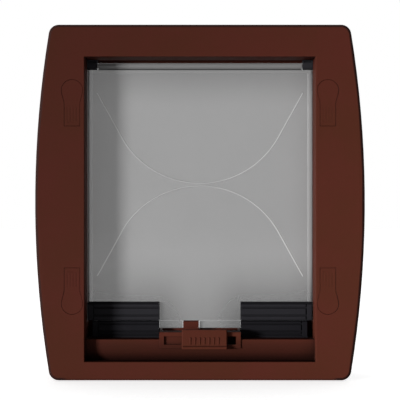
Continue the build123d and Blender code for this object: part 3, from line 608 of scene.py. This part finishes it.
def new_ring(shape, edges, radius_ratio, rise):
    """Extrude a ring of edges about the Z axis to another radius and height; returns the new ring."""
    verts, ring = new_end(shape, edges)
    bmesh.ops.scale(shape, vec=(radius_ratio, radius_ratio, 1), verts=verts)
    bmesh.ops.translate(shape, vec=(0, 0, rise), verts=verts)
    return ring


def closed_loop(shape, verts):
    """Edges from each point to the next and from the last to the first."""
    return [shape.edges.new((verts[i - 1], verts[i])) for i in range(len(verts))]


def pan_screw(head_radius, head_height, recess_length, shank_radius, length, pitch):
    """Screw along Z with its head's seat at zero and its tip below."""
    shape = bmesh.new()
    crown = bmesh.ops.create_circle(shape, segments=RING_SIDES, radius=head_radius * CROWN_FLAT)["verts"]
    crown_edges = list({edge for vert in crown for edge in vert.link_edges})
    arm = recess_length / 2
    half = RECESS_WIDTH / 2
    corners = []
    for quarter in range(4):
        turn = Matrix.Rotation(quarter * pi / 2, 3, "Z")
        for x, y in ((arm, -half), (arm, half), (half, half)):
            corners.append(shape.verts.new(turn @ Vector((x, y, 0))))
    cross = closed_loop(shape, corners)
    bmesh.ops.triangle_fill(shape, edges=crown_edges + cross, use_beauty=True)
    pit = new_ring(shape, cross, RECESS_TAPER, -head_height * RECESS_DEPTH)
    bmesh.ops.holes_fill(shape, edges=pit)
    ring = new_ring(shape, crown_edges, CROWN_SHOULDER / CROWN_FLAT, -head_height * CROWN_DROP)
    ring = new_ring(shape, ring, 1 / CROWN_SHOULDER, -head_height * SHOULDER_DROP)
    ring = new_ring(shape, ring, 1.0, -head_height * (1 - CROWN_DROP - SHOULDER_DROP))
    root_radius = shank_radius * ROOT_RATIO
    ring = new_ring(shape, ring, root_radius / head_radius, 0)
    ring = new_ring(shape, ring, 1.0, -length * (1 - POINT_LENGTH))
    ring = new_ring(shape, ring, POINT_RATIO, -length * POINT_LENGTH)
    bmesh.ops.holes_fill(shape, edges=ring)
    bmesh.ops.translate(shape, vec=(0, 0, head_height), verts=shape.verts)
    sunk = root_radius * ROOT_OVERLAP
    flank = [
        (sunk, THREAD_FOOT),
        (shank_radius, THREAD_CREST),
        (shank_radius, -THREAD_CREST),
        (sunk, -THREAD_FOOT),
    ]
    section = [shape.verts.new((radius, 0, pitch * step - pitch)) for radius, step in flank]
    turns = int((length * THREADED_LENGTH - pitch) / pitch)
    bmesh.ops.spin(
        shape,
        geom=section + closed_loop(shape, section),
        cent=(0, 0, 0),
        axis=(0, 0, 1),
        dvec=(0, 0, -pitch / TURN_STEPS),
        angle=2 * pi * turns,
        steps=turns * TURN_STEPS,
    )
    bmesh.ops.holes_fill(shape, edges=[edge for edge in shape.edges if edge.is_boundary])
    bmesh.ops.recalc_face_normals(shape, faces=shape.faces)
    return shape


def screw_set(name, node, screw, places, turn):
    """One piece of several like screws, each turned from Z by the same turn and set at its place."""
    one = bpy.data.meshes.new(name + "_one")
    screw.to_mesh(one)
    screw.free()
    shape = bmesh.new()
    for place in places:
        before = len(shape.verts)
        shape.from_mesh(one)
        shape.verts.ensure_lookup_table()
        bmesh.ops.transform(shape, matrix=Matrix.Translation(place) @ turn, verts=shape.verts[before:])
    bpy.data.meshes.remove(one)
    stand_in(shape, name, steel, node)


low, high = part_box("fixing_screws")
long_screw = pan_screw(
    LONG_HEAD_RADIUS, LONG_HEAD_HEIGHT, recess_length=4.2 * MM, shank_radius=2.0 * MM,
    length=high.y - low.y - LONG_HEAD_HEIGHT, pitch=1.4 * MM,
)
long_places = [
    (x, low.y + LONG_HEAD_HEIGHT, z)
    for x in (low.x + LONG_HEAD_RADIUS, high.x - LONG_HEAD_RADIUS)
    for z in (low.z + LONG_HEAD_RADIUS, high.z - LONG_HEAD_RADIUS)
]
screw_set("fixing_set", "fixing_screws", long_screw, long_places, Matrix.Rotation(pi / 2, 4, "X"))
low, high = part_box("sill_plate_screws")
short_screw = pan_screw(
    SHORT_HEAD_RADIUS, SHORT_HEAD_HEIGHT, recess_length=2.5 * MM, shank_radius=1.25 * MM,
    length=high.y - low.y - SHORT_HEAD_HEIGHT, pitch=1.0 * MM,
)
short_places = [
    (x, high.y - SHORT_HEAD_HEIGHT, low.z + SHORT_HEAD_RADIUS)
    for x in (low.x + SHORT_HEAD_RADIUS, high.x - SHORT_HEAD_RADIUS)
]
screw_set("sill_plate_set", "sill_plate_screws", short_screw, short_places, Matrix.Rotation(-pi / 2, 4, "X"))

# Screw covers: flush keyhole-shaped caps of the frame's plastic over the fixing screws.
# Each is pressed into its pocket by a peg, and has grip grooves and a slot for a fingernail.
COVER_ROUND = 0.1 * MM
# Painted shade for the covers' grooves and outlines.
COVER_SHADE = (0.045, 0.0120, 0.0080, 1.0)
GROOVE_REACH = 0.32 * MM
GROOVE_DEPTH_RATIO = 0.4
cover_plastic = etched_plastic(
    "cover_plastic", BROWN, BROWN_RED, COVER_SHADE,
    reach=4 * MM, roughness=0.6, grain_height=0.06 * MM, light_gradient=True,
)
for corner in ("top_left", "top_right", "bottom_left", "bottom_right"):
    cover = "screw_cover_" + corner
    shape = softened(cover, COVER_ROUND)
    cover_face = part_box(cover)[0].y
    grooved = [vert for vert in shape.verts if vert.co.y < cover_face + GROOVE_REACH]
    scale_about(shape, (0, cover_face, 0), (1, GROOVE_DEPTH_RATIO, 1), grooved)
    stand_in(shape, "screw_cap_" + corner, cover_plastic, cover)

# Floor: a pale sheet under the frame's foot, which shows white and keeps the object's shadow.
# Only the part behind the object is bright in reflections, as a backdrop would be.
FLOOR_HALF = 4.0
FLOOR_GAP = 0.2 * MM
FLOOR_PAINT = (0.8, 0.8, 0.8, 1.0)
FLOOR_GLOW = 0.74
FLOOR_GLOSS = 0.25
FLOOR_DIMMING = 0.14
FLOOR_FAR = (0.5, 3.8)
FLOOR_BEHIND = (0.0, 0.2)


def seen_rays(start):
    """Masks for the rays of the camera, of gloss and of clear material."""
    rays = start.node("LightPath")
    return [rays.output(f"Is {kind} Ray") for kind in ("Camera", "Glossy", "Transmission")]


floor_paint, principled, start = new_finish(
    "floor_paint",
    Base_Color=FLOOR_PAINT,
    Roughness=0.9,
    Specular_IOR_Level=0.0,
    Emission_Strength=FLOOR_GLOW,
)
camera_ray, glossy_ray, clear_ray = seen_rays(start)
backward = start.node("TexCoord", output="Object").axes()[1]
glow = 1 - FLOOR_DIMMING * backward.ramp(*FLOOR_FAR)
mirrored = glossy_ray * backward.ramp(*FLOOR_BEHIND) * FLOOR_GLOSS
feed(principled, Emission_Color=(camera_ray | clear_ray | mirrored) * glow)
shape = bmesh.new()
bmesh.ops.create_grid(shape, x_segments=1, y_segments=1, size=FLOOR_HALF)
bmesh.ops.translate(shape, vec=(0, 0, cad_box[0].z - FLOOR_GAP), verts=shape.verts)
floor_mesh = bpy.data.meshes.new("floor")
shape.to_mesh(floor_mesh)
shape.free()
floor_mesh.materials.append(floor_paint)
floor = bpy.data.objects.new("floor", floor_mesh)
bpy.context.scene.collection.objects.link(floor)

# Light: a white backdrop behind, which lights the back softly, and a dim room in front,
# with a soft lamp level from the left and a broad weak one near the camera.
AMBIENT = 0.07
BACKDROP_LIGHT = 0.90
BACKDROP_GLOSS = 0.25
BACKDROP_EDGE = (0.0, 0.2)
world = bpy.data.worlds.new("studio")
bpy.context.scene.world = world
world.use_nodes = True
background = world.node_tree.nodes["Background"]
background.inputs["Color"].default_value = (1.0, 1.0, 1.0, 1.0)
start = Shade(world.node_tree)
camera_ray, glossy_ray, clear_ray = seen_rays(start)
behind = start.node("TexCoord", output="Generated").axes()[1].ramp(*BACKDROP_EDGE)
room = AMBIENT + behind * BACKDROP_LIGHT
strength = camera_ray | clear_ray | glossy_ray * behind * BACKDROP_GLOSS | room
world.node_tree.links.new(strength.socket, background.inputs["Strength"])


def soft_lamp(name, azimuth, elevation, distance, width, tall, watts):
    """Lamp aimed at the origin; azimuth 0 is the camera's side, and grows to the left."""
    data = bpy.data.lights.new(name, "AREA")
    data.shape = "RECTANGLE"
    data.size = width
    data.size_y = tall
    data.energy = watts
    lamp = bpy.data.objects.new(name, data)
    bpy.context.scene.collection.objects.link(lamp)
    turn = radians(azimuth)
    rise = radians(elevation)
    away = Vector((-sin(turn) * cos(rise), -cos(turn) * cos(rise), sin(rise)))
    lamp.location = away * distance
    lamp.rotation_mode = "QUATERNION"
    lamp.rotation_quaternion = away.to_track_quat("Z", "Y")
    return lamp


soft_lamp("key_lamp", azimuth=51.5, elevation=2.5, distance=9.0, width=1.92, tall=0.7, watts=1020.0)
front_lamp = soft_lamp(
    "front_lamp", azimuth=-20, elevation=6, distance=1.7, width=0.5, tall=0.3, watts=1.6
)
front_lamp.visible_glossy = False

# Camera: square to the frame's face and about level with its middle.
# It stands well back, so that little of the tunnel's walls shows.
CAMERA_DISTANCE = 0.771
CAMERA_HEIGHT = 0.00586
VIEW_WIDTH = 0.2541
camera_data = bpy.data.cameras.new("camera")
camera_data.sensor_width = 36.0
camera_data.lens = camera_data.sensor_width * CAMERA_DISTANCE / VIEW_WIDTH
camera = bpy.data.objects.new("camera", camera_data)
bpy.context.scene.collection.objects.link(camera)
camera.location = (0, cad_box[0].y - CAMERA_DISTANCE, CAMERA_HEIGHT)
camera.rotation_euler = (radians(90), 0, 0)
bpy.context.scene.camera = camera
bpy.context.scene.view_settings.view_transform = "Standard"
